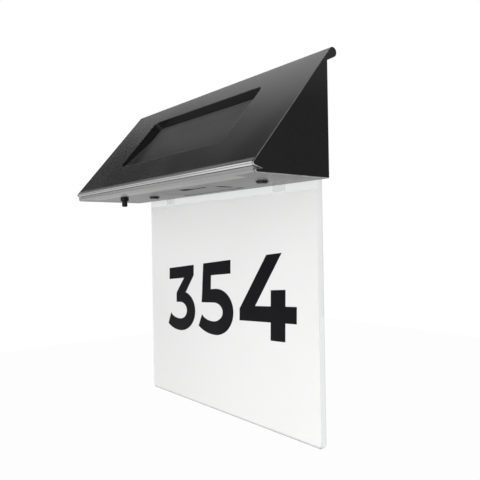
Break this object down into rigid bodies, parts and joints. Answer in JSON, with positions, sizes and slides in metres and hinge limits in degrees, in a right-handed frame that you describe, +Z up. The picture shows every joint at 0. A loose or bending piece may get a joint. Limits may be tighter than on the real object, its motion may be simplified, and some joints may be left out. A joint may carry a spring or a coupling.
{
  "type": "illuminated house number sign",
  "caption": "Solar wall light: dark folded sheet housing with a sloping solar roof over a hanging frosted acrylic panel that carries the house number.",
  "frame": {"origin": "on the wall plane, midway between the two keyhole entries of the wall hanger", "axes": "+X to the right along the housing as seen from the street, +Y into the wall, +Z up"},
  "size_m": [0.26, 0.0754, 0.2745],
  "materials": {
    "dark_sheet": "satin dark powder coat",
    "plate_metal": "glossy dark grey powder coat",
    "zinc": "zinc plated",
    "stainless": "brushed stainless steel",
    "black_screw": "black oxide",
    "black_rubber": "matte",
    "black_plastic": "fine matte",
    "grey_plastic": "glossy moulded",
    "white_plastic": "matte white",
    "opal": "opal diffuser",
    "solar_cell": "dark laminated cells",
    "board_green": "solder mask",
    "board_black": "moulded electronic parts",
    "led_lens": "phosphor lens",
    "cell_wrap": "shrink sleeve",
    "contact_nickel": "nickel plated spring steel",
    "lead_pvc": "flexible insulation",
    "clear_acrylic": "clear cast sheet, polished edges",
    "frost_film": "frosted white film",
    "nylon": "natural"
  },
  "bodies": {
    "sign": {"roof_cover": "dark_sheet", "end_plate_left": "dark_sheet", "end_plate_right": "dark_sheet", "back_plate": "dark_sheet", "wall_hanger": "zinc", "hanger_rivets": "zinc", "base_plate": "plate_metal", "base_seal": "black_rubber", "base_brackets": "zinc", "base_screws": "black_screw", "base_screw_washers": "black_rubber", "base_nuts": "zinc", "solar_module": "solar_cell", "solar_seal": "black_rubber", "solar_grommet": "black_rubber", "solar_lead": "lead_pvc", "light_window": "opal", "led_reflector": "white_plastic", "led_board": "board_green", "leds": "led_lens", "lamp_lead": "lead_pvc", "battery_lead": "lead_pvc", "battery_box": "black_plastic", "battery_cell": "cell_wrap", "battery_contact_plus": "contact_nickel", "battery_contact_minus": "contact_nickel", "switch_body": "black_plastic", "switch_collar": "black_plastic", "control_board": "board_green", "board_standoffs": "nylon", "board_screws": "zinc", "board_parts": "board_black", "number_panel": "clear_acrylic", "panel_film": "frost_film", "panel_clips": "clear_acrylic", "panel_spacers": "nylon", "panel_screws": "stainless", "panel_nuts": "stainless"},
    "switch_button": {"switch_button": "black_plastic"},
    "battery_door": {"battery_door": "grey_plastic"}
  },
  "joints": [
    {"name": "switch_press", "type": "slide", "parent": "sign", "child": "switch_button", "axis": [0, 0, 1], "range_m": [0, 0.0015], "stiffness_N_per_m": 800, "springref_m": -0.0006},
    {"name": "battery_door_hinge", "type": "hinge", "parent": "sign", "child": "battery_door", "pos_m": [0.013, -0.0201, -0.0514], "axis": [1, 0, 0], "range_deg": [0, 80]}
  ]
}
